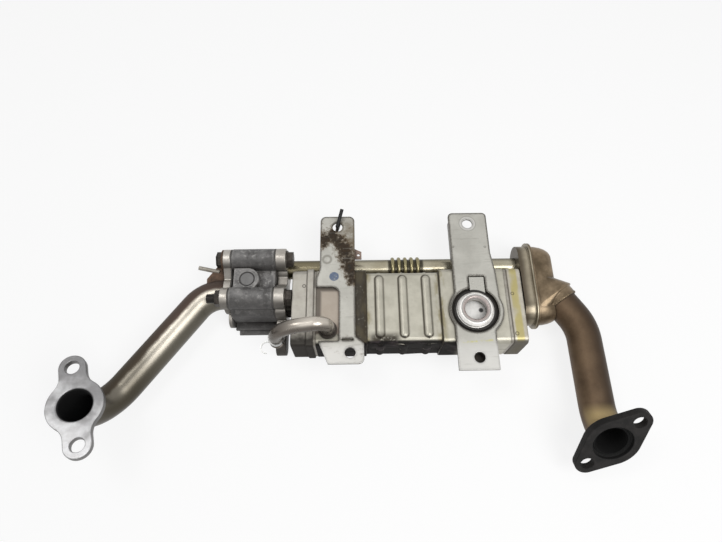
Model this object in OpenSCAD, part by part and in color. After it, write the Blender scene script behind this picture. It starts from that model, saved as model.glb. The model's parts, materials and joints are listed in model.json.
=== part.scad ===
// Exhaust gas cooler with bypass pipe and flap valve, lying as on a bench.
// X runs along the core from the cold end (-X) to the hot end (+X) and Z is up.
// The origin is the middle of the jacket's flat underside.

/* [Jacket] */
// Length of the coolant jacket
jacket_l = 165; // [158:1:180]
// Width of the jacket
jacket_w = 69; // [64:0.5:74]
// Height of the jacket
jacket_h = 42; // [41:0.5:46]
// Thickness of the jacket, tank and cap sheet
sheet = 1.5; // [1:0.1:1.8]
// Corner radius of the jacket section
jacket_r = 5; // [4:0.5:7]
// Length of the raised band at the cold end
cold_band = 43.5; // [42:0.5:50]
// Length of the raised band at the hot end
hot_band = 57.5; // [55:0.5:60]
// Depth of the ribbed middle panel below the bands
panel_drop = 2; // [1:0.1:2.4]
// Width of a rib
rib_w = 7.4; // [6:0.1:9]
// Length of a rib on the top and bottom panels
rib_l = 57; // [40:1:58]
// Spacing of the ribs
rib_pitch = 20.5; // [15:0.5:22]

/* [Core] */
// Number of flat gas tubes
tube_n = 7; // [5:1:8]
// Thickness of a gas tube
tube_t = 5.4; // [4:0.1:6]
// Wall of a gas tube
tube_wall = 0.6; // [0.4:0.1:1]
// Free coolant space between tubes and jacket
tube_gap = 2.4; // [1.5:0.1:4]
// Thickness of a header plate
header_t = 2; // [1.5:0.1:3]

/* [End tanks] */
// Length of the cold gas tank
cold_tank_l = 19; // [16:0.5:24]
// Length of the raised joint bead on the cold tank
bead_l = 6; // [4:0.5:9]
// Height of that bead
bead_h = 1.2; // [0.8:0.1:2]
// Length of the hot gas tank
hot_tank_l = 12.5; // [10:0.5:16]
// Length of the neck between cold tank and cooler flange
cold_neck_l = 6.4; // [6.4:0.1:11]
// Length of the neck between hot tank and inlet pan
hot_neck_l = 3; // [2:0.5:6]

/* [Bypass] */
// Outer diameter of the bypass pipe
bypass_d = 17.3; // [15:0.1:18]
// Wall of the bypass pipe
bypass_wall = 1; // [0.8:0.1:1.5]
// Gap between bypass pipe and jacket
bypass_gap = 2.35; // [2:0.05:4]
// Height of the bypass axis above the bench
bypass_z = 16.5; // [15:0.5:18]
// Number of bellows waves
wave_n = 5; // [3:1:7]
// Length of one bellows wave
wave_pitch = 5.8; // [5:0.1:6.5]
// Height of a bellows wave
wave_h = 2.2; // [1.5:0.1:2.3]

/* [Valve housing] */
// Thickness of the cooler flange
cooler_flange_t = 9; // [7:0.5:12]
// Thickness of the two gaskets
gasket_t = 1; // [0.6:0.1:1.5]
// Length of the cast housing
housing_l = 38; // [36:0.5:44]
// Width of the core gas passage
pass_w = 19; // [17:0.5:20]
// Height of the core gas passage
pass_h = 18; // [16:0.5:18.5]
// Near side of the core gas passage
pass_y0 = 1.5; // [1.5:0.1:2.5]
// Floor of the core gas passage
pass_z0 = 10; // [9.5:0.1:11]
// Height of the upper bolt row
upper_bolt_z = 38; // [38:0.5:41]
// Y of the upper near bolt
near_bolt_y = 9.6; // [8:0.1:10]
// Y of the ear on the near low side of the cooler flange
ear_y = -24.5; // [-26:0.5:-20]
// Thread diameter of the housing bolts
bolt_d = 8; // [7:0.5:8]
// Across flats of bolt heads and nuts
bolt_af = 13; // [11:0.5:13]
// Radius of the bolt bosses
boss_r = 9.75; // [9:0.05:10]

/* [Bypass flap] */
// Diameter of the flap shaft
shaft_d = 8; // [6:0.1:9]
// Length of the flap from its axis to its tip
flap_l = 13; // [12.6:0.05:13.2]
// Thickness of the flap
flap_t = 2.5; // [2:0.1:3]
// Angle of the closed flap, from +X
flap_a = 146; // [145:1:148]
// Running clearance of the shaft in its bushes, on radius
shaft_clear = 0.05; // [0.02:0.01:0.1]
// Outer diameter of the shaft bushes
bush_d = 12; // [11:0.1:14]
// Diameter of the sealing plug over the shaft
plug_d = 12.4; // [12:0.1:15]
// Free space above and below the flap
flap_gap = 0.6; // [0.3:0.05:1]

/* [Outlet pipe] */
// Outer diameter of the cold gas pipe
outlet_d = 27; // [25:0.1:28.6]
// Wall of the cold gas pipe
outlet_wall = 1.2; // [1:0.1:2]
// Thickness of the pipe's flange at the housing
pipe_flange_t = 6.5; // [5:0.5:9]
// Straight lead of the pipe, from the gasket
outlet_lead = 9.8; // [9:0.1:12]
// Turn of the pipe in plan
outlet_turn = 53.6; // [45:0.1:60]
// Radius of that turn
outlet_turn_r = 29; // [28:0.5:40]
// Straight run between turn and rise
outlet_run = 86.6; // [70:0.1:110]
// Angle of the rise to the flange
outlet_rise = 101; // [90:0.5:105]
// Radius of the rise
outlet_rise_r = 32; // [30:0.5:40]
// Straight end of the pipe up to the flange face
outlet_tail = 8; // [8:0.1:14]

/* [Outlet flange] */
// Thickness of the outlet flange
outlet_flange_t = 6; // [5:0.5:8]
// Spacing of its bolt holes
outlet_bolts = 62.6; // [60:0.1:70]
// Diameter of its bolt holes
outlet_hole_d = 10.5; // [8:0.1:12]
// Radius of its round middle
outlet_mid_r = 21; // [20:0.1:24]
// Radius of its ears
outlet_ear_r = 10.2; // [9:0.1:12]
// Roll of the bolt line about the bore
outlet_roll = 53.7; // [0:0.1:90]

/* [Inlet end] */
// Y of the middle of the oval inlet pan
pan_y = 25.4; // [24:0.1:27]
// Height of the middle of the pan
pan_z = 20.5; // [19:0.1:22]
// Half length of the pan's oval section
pan_hw = 38; // [36:0.5:42]
// Half height of the pan's oval section
pan_hh = 15; // [14.6:0.1:16]
// Depth of the pan
pan_l = 11; // [9:0.5:14]
// Width of the welded rim round pan and cap
rim_w = 3; // [2:0.1:4]
// Depth of the cap's dome
dome_l = 20; // [16:0.5:24]

/* [Exhaust pipe] */
// Outer diameter of the hot gas pipe
exhaust_d = 28.6; // [27:0.1:30]
// Wall of the hot gas pipe
exhaust_wall = 1.5; // [1:0.1:2]
// Distance of the pipe joint from the cap rim, along X
joint_x = 23.2; // [23:0.1:26]
// Y of the pipe joint
joint_y = 7.7; // [6:0.1:9]
// Height of the hot pipe axis
exhaust_z = 23; // [21:0.1:25]
// Heading of the joint in plan, below +X
exhaust_head = 57; // [52:0.5:60]
// Length of the collar round the pipe joint
collar_l = 8; // [6:0.5:10]
// Straight lead after the joint
exhaust_lead = 15.3; // [12:0.1:20]
// Radius of the turn in plan
exhaust_turn_r = 42; // [38:0.5:55]
// Straight run towards the flange
exhaust_run = 55; // [45:0.5:75]
// Angle of the rise to the flange
exhaust_rise = 41; // [30:0.5:50]
// Radius of the rise
exhaust_rise_r = 35; // [30:0.5:45]
// Straight end of the pipe up to the flange face
exhaust_tail = 14.1; // [12:0.1:20]

/* [Exhaust flange] */
// Thickness of the exhaust flange
exhaust_flange_t = 6.5; // [6:0.5:9]
// Spacing of its bolt holes
exhaust_bolts = 52.6; // [50:0.1:58]
// Diameter of its bolt holes
exhaust_hole_d = 10.5; // [8:0.1:11]
// Radius of its round middle
exhaust_mid_r = 22.5; // [21:0.1:28]
// Radius of its ears
exhaust_ear_r = 9.8; // [9:0.1:13]
// Diameter of its bore in front of the pipe
exhaust_bore_d = 31.8; // [30:0.1:34]
// Roll of the bolt line about the bore
exhaust_roll = -40; // [-90:1:0]

/* [Brackets] */
// Thickness of the bracket sheet
bracket_t = 2.5; // [2:0.1:3.5]
// Diameter of the bracket holes
bracket_hole_d = 9; // [6.6:0.1:10]
// Width of the cold end bracket
cold_bracket_w = 31; // [28:0.5:33]
// Width of the hot end bracket
hot_bracket_w = 35; // [34:0.5:37]
// Reach of the bracket arms behind the jacket
arm_reach = 52; // [45:0.5:60]
// Reach of the bracket feet in front of the jacket
foot_reach = 17; // [16:0.5:24]
// Height of the turned-down edges of the arms
edge_h = 5; // [3:0.5:8]

/* [Coolant] */
// Outer diameter of the coolant inlet pipe
coolant_d = 12; // [9:0.1:12.5]
// Wall of the coolant inlet pipe
coolant_wall = 1; // [0.8:0.1:1.5]
// Radius of its bends
coolant_bend_r = 11; // [10:0.5:14]
// Length of its level run over the cold tank
coolant_run = 10; // [9.5:0.5:14]
// Length of its open end
coolant_end = 12; // [8:0.5:14]
// Bore of the coolant outlet port
port_bore_d = 18.5; // [14:0.1:20]
// Outer diameter of the port collar
port_d = 31; // [28:0.1:33]
// Height of the port collar above the jacket
port_h = 6; // [4:0.1:9]

/* [Hidden] */
$fn = 64;
// Facets round the cap's dome and its openings
dome_fn = 32;
EPS = 0.01;
// Hairline step between a straight length and the bend or arc that it laps
hair = 0.03;
lap = 0.2;

// Jacket and core, along X
jx0 = -jacket_l / 2;
jx1 = jacket_l / 2;
panel_x0 = jx0 + cold_band;
panel_x1 = jx1 - hot_band;
panel_mid = (panel_x0 + panel_x1) / 2;
panel_w = jacket_w - 2 * panel_drop;
panel_h = jacket_h - panel_drop;
mid_z = jacket_h / 2;
rib_h = 0.95 * panel_drop;
rib_r = (rib_w * rib_w / 4 + rib_h * rib_h) / (2 * rib_h);
side_rib_l = panel_h - 16;
tube_h = panel_h - 2 * sheet - 2 * tube_gap;
tube_span = panel_w - 2 * sheet - 2 * tube_gap - tube_t;
tube_pitch = tube_span / (tube_n - 1);
core_x0 = jx0 - header_t;
core_x1 = jx1 + header_t;

// Cold end stack, along X
tank_x0 = core_x0 - cold_tank_l;
flange_x1 = tank_x0 - cold_neck_l;
flange_x0 = flange_x1 - cooler_flange_t;
house_x1 = flange_x0 - gasket_t;
house_x0 = house_x1 - housing_l;
pipe_x1 = house_x0 - gasket_t;
pipe_x0 = pipe_x1 - pipe_flange_t;

// Hot end stack, along X
tank_x1 = core_x1 + hot_tank_l;
pan_x0 = tank_x1 + hot_neck_l;
pan_x1 = pan_x0 + pan_l;
cap_x1 = pan_x1 + sheet;

// Gas passages in Y and Z
bypass_r = bypass_d / 2;
bypass_y = jacket_w / 2 + bypass_gap + bypass_r;
pass_y1 = pass_y0 + pass_w;
pass_z1 = pass_z0 + pass_h;
pass_y = pass_y0 + pass_w / 2;
pass_z = pass_z0 + pass_h / 2;
outlet_r = outlet_d / 2;
outlet_y = pass_y1;
pipe_rim = 4.2;
outlet_z = max(pass_z, outlet_r + pipe_rim + 0.3);
hot_hole_w = 2 * (pan_hh - 2 * sheet) + 8;
hot_hole_h = 2 * (pan_hh - 2 * sheet);
hot_hole_y = pan_y - pan_hw + sheet + hot_hole_w / 2 + 2;

// Housing bolts: far and near, each [y, z]
bolt_far = [bypass_y + 1, upper_bolt_z];
bolt_near = [near_bolt_y, upper_bolt_z];
BOLTS = [bolt_far, bolt_near];
bolt_hole_r = bolt_d / 2 + 0.5;
hex_r = bolt_af / 2 / cos(30);
head_h = 4.8;
head_washer_t = 1.4;
head_washer_r = hex_r + 0.5;
nut_h = 5;
stay_t = 1.6;
// Plates under each nut, and thread showing past it
nut_pack = [stay_t, 0];
thread_end = [0.4, 7.5];
flange_ear = [ear_y, boss_r];
flange_foot = [pass_y0, boss_r + 0.8];

// Stay between the far bolt and the outlet pipe
stay_z = outlet_z + 7;
stay_half = 8;
pin_d = 3.8;

// Flap valve
pivot_x = house_x1 - 23.4;
pivot_y = pass_y1 + 5.5;
roof_z = pass_z1 + 6;
pad_z = roof_z + 9;
floor_t = 5;
cover_t = 3;
ledge_y = pass_y0 - 10.5;
cover_y = ledge_y - 3.5;
hub_r = shaft_d / 2 + 1.5;
lever_l = 14;
lever_t = 3.2;
lever_z = 1;
lever_end_r = 4.5;
pocket_r = lever_l + lever_end_r + 1.5;
bush_top = pad_z - 5;
plug_t = 3;

// Exhaust pipe
exhaust_r = exhaust_d / 2;
joint = [cap_x1 + joint_x, joint_y, exhaust_z];
exhaust_turn = 90 - exhaust_head;
joint_gap = 0.1;

// Coolant side
coolant_r = coolant_d / 2;
coolant_at = [jx0 + 10.6, -jacket_w / 2 + 12.9];
coolant_az = 186;
coolant_rise = 9.4;
coolant_fall_r = 2 * coolant_bend_r + 1.5;
port_at = [jx1 - 28.5, -6];
port_r = port_d / 2;
port_base_r = port_r + 2.5;
port_gap = 2;
port_open_r = port_base_r + port_gap;
tongue_w = 13;
tongue_y = port_at[1] + 30.5;
tongue_gap = 0.7;

// Brackets
top_z = jacket_h;
arm_y = jacket_w / 2 + arm_reach;
foot_y = -jacket_w / 2 - foot_reach;
cold_br_x = jx0 + cold_bracket_w / 2 + 3;
cold_br_l = cold_br_x - cold_bracket_w / 2;
cold_br_r = cold_br_x + cold_bracket_w / 2;
cold_arm_hole = [cold_br_x, arm_y - 10.9];
cold_foot_hole = [cold_br_x + 10.8, foot_y + 9.6];
cold_neck_y = [jacket_w / 2 - 0.5, jacket_w / 2 - 9.5];
hot_br_x = port_at[0] + 1;
hot_br_l = hot_br_x - hot_bracket_w / 2;
hot_br_r = hot_br_x + hot_bracket_w / 2;
hot_arm_y = arm_y + 2.3;
hot_foot_y = foot_y - 6.5;
hot_arm_hole = [hot_br_x - 0.4, hot_arm_y - 11.3];
hot_foot_hole = [hot_br_x - 1.5, hot_foot_y + 10.5];

// Flat outlines

// Rectangle with round corners, centred
module rounded_rect(w, h, r) {
    square([w - 2 * r, h], center = true);
    square([w, h - 2 * r], center = true);
    for (sx = [-1, 1], sy = [-1, 1])
        translate([sx * (w / 2 - r), sy * (h / 2 - r)]) circle(r);
}

// Slot with full round ends, hw and hh its half sizes
module stadium(hw, hh) {
    square([2 * (hw - hh), 2 * hh], center = true);
    for (s = [-1, 1]) translate([s * (hw - hh), 0]) circle(hh);
}

// Straight bar of width w from point p to point q
module bar(p, q, w) {
    d = q - p;
    translate(p) rotate(atan2(d[1], d[0])) translate([0, -w / 2]) square([norm(d), w]);
}

// Two-bolt flange with a waist: round middle, ears and filleted necks
module waisted_flange(mid_r, ear_r, half, fillet_r) {
    fy = ear_r + fillet_r;
    fx = sqrt(pow(mid_r + fillet_r, 2) - fy * fy);
    tx = fx * mid_r / (mid_r + fillet_r);
    ty = fy * mid_r / (mid_r + fillet_r);
    circle(mid_r);
    bar([-half, 0], [half, 0], 2 * ear_r);
    for (sx = [-1, 1]) translate([sx * half, 0]) circle(ear_r);
    difference() {
        polygon([[fx, -ear_r], [fx, ear_r], [tx, ty], [-tx, ty], [-fx, ear_r], [-fx, -ear_r],
            [-tx, -ty], [tx, -ty]]);
        for (sx = [-1, 1], sy = [-1, 1]) translate([sx * fx, sy * fy]) circle(fillet_r + hair);
    }
}

// Two-bolt flange with straight flanks from its middle to its ears
module straight_flange(mid_r, ear_r, half) {
    b = acos((mid_r - ear_r) / half);
    mid = (mid_r - hair) * [cos(b), sin(b)];
    ear = (ear_r - hair) * [cos(b), sin(b)] + [half, 0];
    circle(mid_r);
    for (sx = [-1, 1]) translate([sx * half, 0]) circle(ear_r);
    polygon([[ear[0], -ear[1]], ear, mid, [-mid[0], mid[1]], [-ear[0], ear[1]], -ear, -mid,
        [mid[0], -mid[1]]]);
}

// Placing

// Extrudes a Y-Z outline along X
module along_x(x0, x1) {
    translate([x0, 0, 0]) rotate([90, 0, 90]) linear_extrude(x1 - x0) children();
}

// Puts a Y-Z outline at a point [y, z]
module at_yz(p) {
    translate([p[0], p[1]]) children();
}

// Frame whose Z heads in plan along azimuth az; its X points down, its Y to the left
module head(p, az) {
    translate(p) rotate([0, 0, az]) rotate([0, 90, 0]) children();
}

// Frame at the end of a bend towards X
module after_bend(bend_r, a) {
    translate([bend_r * (1 - cos(a)), 0, bend_r * sin(a)]) rotate([0, a, 0]) children();
}

// Section of a pipe of outer radius r; a wall of r makes a solid rod
module ring(r, wall) {
    difference() {
        circle(r);
        if (wall < r) circle(r - wall);
    }
}

// Straight length of pipe, lapping the bends before and after it
module run(r, wall, l, before = 0, after = 0) {
    translate([0, 0, -before]) linear_extrude(l + before + after) ring(r, wall);
}

// Bend of a pipe towards X, bend_r its middle radius; its wall is drawn a hair thinner
module bend(r, wall, bend_r, a) {
    thin = wall < r ? wall - 2 * hair : r - hair;
    translate([bend_r, 0, 0]) rotate([90, 0, 180])
        rotate_extrude(angle = a) translate([bend_r, 0]) ring(r - hair, thin);
}

// Jacket and core

module jacket_block(x0, x1, w, h) {
    along_x(x0, x1) at_yz([0, mid_z]) rounded_rect(w, h, jacket_r);
}

// Middle panel, lower than the bands on its top and sides and level with them underneath
module panel_block(x0, x1, inset) {
    along_x(x0, x1) at_yz([0, panel_h / 2])
        rounded_rect(panel_w - 2 * inset, panel_h - 2 * inset, jacket_r);
}

// Ribs of the middle panel, round beads across its top and down its sides
module panel_ribs() {
    for (i = [-1 : 1]) translate([panel_mid + i * rib_pitch, 0, 0]) {
        translate([0, 0, panel_h + rib_h - rib_r]) rib(rib_l - rib_w, [90, 0, 0]);
        for (s = [-1, 1]) translate([0, s * (panel_w / 2 + rib_h - rib_r), panel_h / 2])
            rib(side_rib_l, [0, 0, 0]);
    }
}

module rib(l, turn) {
    rotate(turn) {
        cylinder(r = rib_r, h = l, center = true);
        for (s = [-1, 1]) translate([0, 0, s * l / 2]) sphere(rib_r);
    }
}

module jacket_shell() {
    wall = 2 * sheet;
    difference() {
        union() {
            jacket_block(jx0, panel_x0, jacket_w, jacket_h);
            panel_block(panel_x0 - EPS, panel_x1 + EPS, 0);
            jacket_block(panel_x1, jx1, jacket_w, jacket_h);
            panel_ribs();
        }
        jacket_block(jx0 - 1, panel_x0 - sheet, jacket_w - wall, jacket_h - wall);
        panel_block(jx0, jx1, sheet);
        jacket_block(panel_x1 + sheet, jx1 + 1, jacket_w - wall, jacket_h - wall);
        translate([coolant_at[0], coolant_at[1], mid_z]) cylinder(r = coolant_r, h = jacket_h);
        translate([port_at[0], port_at[1], mid_z]) cylinder(d = port_bore_d, h = jacket_h);
    }
}

module jacket_half(z0) {
    intersection() {
        jacket_shell();
        translate([jx0 - 1, -jacket_w, z0]) cube([jacket_l + 2, 2 * jacket_w, mid_z]);
    }
}

module jacket_upper() {
    color([0.62, 0.60, 0.56]) jacket_half(mid_z);
}

module jacket_lower() {
    color([0.50, 0.48, 0.45]) jacket_half(0);
}

module tube_outline(inset) {
    for (i = [0 : tube_n - 1])
        at_yz([-tube_span / 2 + i * tube_pitch, mid_z])
            rotate(90) stadium(tube_h / 2 - inset, tube_t / 2 - inset);
}

module header(x0) {
    color([0.52, 0.50, 0.46]) along_x(x0, x0 + header_t) difference() {
        at_yz([0, mid_z]) rounded_rect(jacket_w - 1, jacket_h - 1, jacket_r - 0.5);
        tube_outline(0);
    }
}

module inlet_header() {
    header(jx1);
}

module outlet_header() {
    header(core_x0);
}

module gas_tubes() {
    color([0.72, 0.71, 0.69]) along_x(core_x0, core_x1) difference() {
        tube_outline(0);
        tube_outline(tube_wall);
    }
}

// Gas tanks and inlet end

// Round-cornered gas duct outline between cold tank and valve
module pass_outline(margin) {
    at_yz([pass_y, pass_z]) rounded_rect(pass_w + 2 * margin, pass_h + 2 * margin, 4 + margin);
}

module outlet_tank() {
    wall = 2 * sheet;
    color([0.66, 0.64, 0.61]) difference() {
        union() {
            jacket_block(tank_x0, core_x0, jacket_w, jacket_h);
            along_x(core_x0 - bead_l, core_x0) at_yz([0, mid_z + bead_h / 2])
                rounded_rect(jacket_w + 2 * bead_h, jacket_h + bead_h, jacket_r);
            along_x(flange_x1, tank_x0 + EPS) pass_outline(sheet);
        }
        jacket_block(tank_x0 + sheet, core_x0 + 1, jacket_w - wall, jacket_h - wall);
        along_x(flange_x1 - 1, tank_x0 + 2 * sheet) pass_outline(0);
    }
}

module hot_hole(margin) {
    at_yz([hot_hole_y, pan_z])
        rounded_rect(hot_hole_w + 2 * margin, hot_hole_h + 2 * margin, 6 + margin);
}

module inlet_tank() {
    wall = 2 * sheet;
    color([0.70, 0.66, 0.50]) difference() {
        union() {
            jacket_block(core_x1, tank_x1, jacket_w, jacket_h);
            along_x(tank_x1 - EPS, pan_x0) hot_hole(sheet);
        }
        jacket_block(core_x1 - 1, tank_x1 - sheet, jacket_w - wall, jacket_h - wall);
        along_x(tank_x1 - 2 * sheet, pan_x0 + 1) hot_hole(0);
    }
}

// Oval of pan and cap, grown by margin
module pan_oval(margin) {
    at_yz([pan_y, pan_z]) stadium(pan_hw + margin, pan_hh + margin);
}

module inlet_pan() {
    color([0.36, 0.29, 0.22]) difference() {
        union() {
            along_x(pan_x0, pan_x1) pan_oval(0);
            along_x(pan_x1 - sheet, pan_x1) pan_oval(rim_w);
        }
        along_x(pan_x0 + sheet, pan_x1 + 1) pan_oval(-sheet);
        along_x(pan_x0 - 1, pan_x0 + 2 * sheet) hot_hole(0);
        along_x(pan_x0 - 1, pan_x0 + 2 * sheet) at_yz([bypass_y, bypass_z]) circle(bypass_r);
    }
}

// One slice of the cap's dome, which draws in along a quarter arc
module dome_slice(a, inset) {
    $fn = dome_fn;
    translate([cap_x1 - EPS + (dome_l - inset) * sin(a), 0, 0])
        along_x(0, EPS) pan_oval(-inset - 0.62 * pan_hh * (1 - cos(a)));
}

module dome(inset) {
    step = 15;
    for (a = [0 : step : 60]) hull() {
        dome_slice(a, inset);
        dome_slice(a + step, inset);
    }
}

// Blend from the dome to the round pipe joint
module diffuser(inset) {
    $fn = dome_fn;
    hull() {
        along_x(cap_x1 - EPS, cap_x1 + 4) at_yz([joint_y + 6, pan_z])
            stadium(24 - inset, pan_hh - inset);
        head(joint, -exhaust_head) translate([0, 0, -collar_l])
            cylinder(r = exhaust_r + 2 * sheet - inset, h = 1);
    }
}

module inlet_cap() {
    color([0.40, 0.32, 0.23]) difference() {
        union() {
            along_x(pan_x1, cap_x1) pan_oval(rim_w);
            dome(0);
            diffuser(0);
            head(joint, -exhaust_head) translate([0, 0, -collar_l])
                cylinder(r = exhaust_r + sheet, h = collar_l);
        }
        along_x(pan_x1 - 1, cap_x1) pan_oval(-sheet, $fn = dome_fn);
        dome(sheet);
        diffuser(2 * sheet);
        head(joint, -exhaust_head) translate([0, 0, 1 - collar_l])
            cylinder(r = exhaust_r + 2 * joint_gap, h = collar_l - 1 + exhaust_lead, $fn = dome_fn);
    }
}

// Exhaust pipe

module exhaust_after_turn() {
    head(joint, -exhaust_head) translate([0, 0, exhaust_lead]) rotate([0, 0, -90])
        after_bend(exhaust_turn_r, exhaust_turn) rotate([0, 0, 90]) children();
}

module exhaust_at_rise() {
    exhaust_after_turn() translate([0, 0, exhaust_run]) rotate([0, 0, 180]) children();
}

// Frame on the face of the exhaust flange, Z out of the bore
module exhaust_face() {
    exhaust_at_rise() after_bend(exhaust_rise_r, exhaust_rise)
        translate([0, 0, exhaust_tail]) children();
}

module exhaust_pipe() {
    r = exhaust_r;
    wall = exhaust_wall;
    seat = exhaust_flange_t / 2;
    color([0.42, 0.33, 0.23]) {
        head(joint, -exhaust_head) {
            translate([0, 0, 1 - collar_l]) run(r, wall, collar_l - 1 + exhaust_lead, 0, lap);
            translate([0, 0, exhaust_lead]) rotate([0, 0, -90])
                bend(r, wall, exhaust_turn_r, exhaust_turn);
        }
        exhaust_after_turn() run(r, wall, exhaust_run, lap, lap);
        exhaust_at_rise() bend(r, wall, exhaust_rise_r, exhaust_rise);
        exhaust_at_rise() after_bend(exhaust_rise_r, exhaust_rise)
            run(r, wall, exhaust_tail - seat, lap, 0);
    }
}

module exhaust_flange() {
    seat = exhaust_flange_t / 2;
    half = exhaust_bolts / 2;
    color([0.13, 0.12, 0.12]) exhaust_face() rotate([0, 0, exhaust_roll]) difference() {
        translate([0, 0, -exhaust_flange_t]) linear_extrude(exhaust_flange_t)
            straight_flange(exhaust_mid_r, exhaust_ear_r, half);
        translate([0, 0, -seat]) cylinder(d = exhaust_bore_d, h = seat + 1);
        translate([0, 0, -exhaust_flange_t - 1]) cylinder(r = exhaust_r, h = exhaust_flange_t + 1);
        for (s = [-1, 1]) translate([s * half, 0, -exhaust_flange_t - 1])
            cylinder(d = exhaust_hole_d, h = exhaust_flange_t + 2);
    }
}

// Bypass pipe with its bellows

// The pipe as a solid rod of radius r, with its bellows waves
module bypass_rod(r, x0, x1) {
    along_x(x0, x1) at_yz([bypass_y, bypass_z]) circle(r);
    for (i = [0 : wave_n - 1])
        translate([panel_mid + (i - (wave_n - 1) / 2) * wave_pitch + 5, bypass_y, bypass_z])
            rotate([0, 90, 0]) wave(r);
}

// One bellows wave: a disc with a round rim
module wave(r) {
    rim = wave_pitch * 0.3;
    rotate_extrude() {
        translate([0, -rim]) square([r + wave_h - rim, 2 * rim]);
        translate([r + wave_h - rim, 0]) circle(rim);
    }
}

module bypass_pipe() {
    color([0.72, 0.63, 0.35]) difference() {
        bypass_rod(bypass_r, flange_x0, pan_x0 + sheet);
        along_x(flange_x0 - 1, pan_x0 + sheet + 1) at_yz([bypass_y, bypass_z])
            circle(bypass_r - bypass_wall);
    }
}

// Cold end: flange, gaskets and valve housing

module bolt_holes() {
    for (p = BOLTS) at_yz(p) circle(bolt_hole_r);
}

// Outline shared by cooler flange and gasket
module joint_outline() {
    at_yz([pass_y, pass_z]) rounded_rect(pass_w + 12, pass_h + 12, 8);
    at_yz([bypass_y, bypass_z]) circle(bypass_r + 5.5);
    bar([pass_y, bypass_z], [bypass_y, bypass_z], 18);
    for (p = BOLTS) at_yz(p) circle(boss_r);
    bar(bolt_far, [bolt_far[0], bypass_z], 1.5 * boss_r);
    bar(bolt_near, [bolt_near[0], pass_z], 1.5 * boss_r);
}

module cooler_flange() {
    color([0.60, 0.58, 0.55]) along_x(flange_x0, flange_x1) difference() {
        union() {
            joint_outline();
            at_yz(flange_ear) circle(boss_r);
            bar(flange_ear, [pass_y, flange_ear[1]], 2 * boss_r - 1);
        }
        pass_outline(0);
        at_yz([bypass_y, bypass_z]) circle(bypass_r);
        bolt_holes();
    }
}

module cooler_gasket() {
    color([0.35, 0.34, 0.33]) along_x(house_x1, flange_x0) difference() {
        joint_outline();
        pass_outline(0);
        at_yz([bypass_y, bypass_z]) circle(bypass_r);
        bolt_holes();
    }
}

// Gas space of the housing in plan: core duct, mixing space and outlet mouth round the flap
module valve_space() {
    seat_y = pivot_y - flap_l - 0.3;
    ledge_y = pivot_y + flap_l * sin(180 - flap_a) + flap_t / 2 + 0.3;
    back_y = bypass_y + bypass_r - 2 * bypass_wall;
    duct_x = pivot_x + hub_r + 0.5;
    translate([duct_x - EPS, pass_y0]) square([house_x1 - duct_x + 1, pass_w]);
    translate([pivot_x - 4.6, pass_y0]) square([duct_x - pivot_x + 4.6, back_y - pass_y0]);
    difference() {
        translate([house_x0 - 1, pass_y0]) square([pivot_x - house_x0 - 3, ledge_y - pass_y0]);
        translate([pivot_x - 9.6, pass_y0 - 1]) square([6, seat_y - pass_y0 + 1]);
    }
}

module valve_housing() {
    far_y = bypass_y + bypass_r + 4.5;
    near_y = pass_y0 - 5;
    color([0.42, 0.42, 0.41]) difference() {
        union() {
            along_x(house_x0, house_x1) {
                at_yz([(far_y + near_y) / 2, (roof_z + floor_t) / 2])
                    rounded_rect(far_y - near_y, roof_z - floor_t, 8);
                for (p = BOLTS) at_yz(p) circle(boss_r);
                bar(bolt_far, [bolt_far[0], pass_z], 1.6 * boss_r);
                bar(bolt_near, [bolt_near[0], pass_z], 1.6 * boss_r);
            }
            translate([pivot_x, pivot_y, pass_z]) linear_extrude(pad_z - pass_z) {
                circle(10.5);
                translate([-12, -10.5]) square([12, 21]);
            }
            translate([house_x0, ledge_y, cover_t - EPS])
                cube([housing_l, far_y - ledge_y - 3, floor_t + 1 - cover_t]);
            translate([house_x0 + 3, cover_y, 0]) cube([housing_l - 3, far_y - cover_y - 5, cover_t]);
        }
        translate([0, 0, pass_z0]) linear_extrude(pass_h) valve_space();
        along_x(pivot_x, house_x1 + 1) at_yz([bypass_y, bypass_z]) circle(bypass_r - bypass_wall);
        along_x(house_x0 - 1, house_x1 + 1) bolt_holes();
        translate([pivot_x, pivot_y, floor_t - 1]) cylinder(d = bush_d, h = bush_top - floor_t + 1);
        translate([pivot_x, pivot_y, bush_top - EPS]) cylinder(d = plug_d, h = pad_z);
        translate([pivot_x, pivot_y, -1]) linear_extrude(floor_t + 1) intersection() {
            circle(pocket_r);
            translate([-hub_r - 4, -pocket_r]) square(2 * pocket_r);
        }
    }
}

module bush(z0, z1) {
    color([0.62, 0.50, 0.28]) translate([pivot_x, pivot_y, z0]) difference() {
        cylinder(d = bush_d, h = z1 - z0);
        translate([0, 0, -1]) cylinder(r = shaft_d / 2 + shaft_clear, h = z1 - z0 + 2);
    }
}

module upper_bush() {
    bush(pass_z1, bush_top);
}

module lower_bush() {
    bush(floor_t, pass_z0);
}

module shaft_plug() {
    color([0.50, 0.50, 0.49]) translate([pivot_x, pivot_y, pad_z - 0.4 - plug_t])
        cylinder(d = plug_d, h = plug_t);
}

module valve_shaft() {
    color([0.55, 0.54, 0.53]) translate([pivot_x, pivot_y, lever_z])
        cylinder(d = shaft_d, h = bush_top - lever_z);
}

module valve_flap() {
    h = pass_h - 2 * flap_gap;
    color([0.45, 0.44, 0.43]) translate([pivot_x, pivot_y, pass_z0 + flap_gap]) difference() {
        rotate(flap_a) union() {
            cylinder(r = hub_r, h = h);
            translate([0, -flap_t / 2, 0]) cube([flap_l, flap_t, h]);
        }
        translate([0, 0, -1]) cylinder(d = shaft_d, h = h + 2);
    }
}

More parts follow.
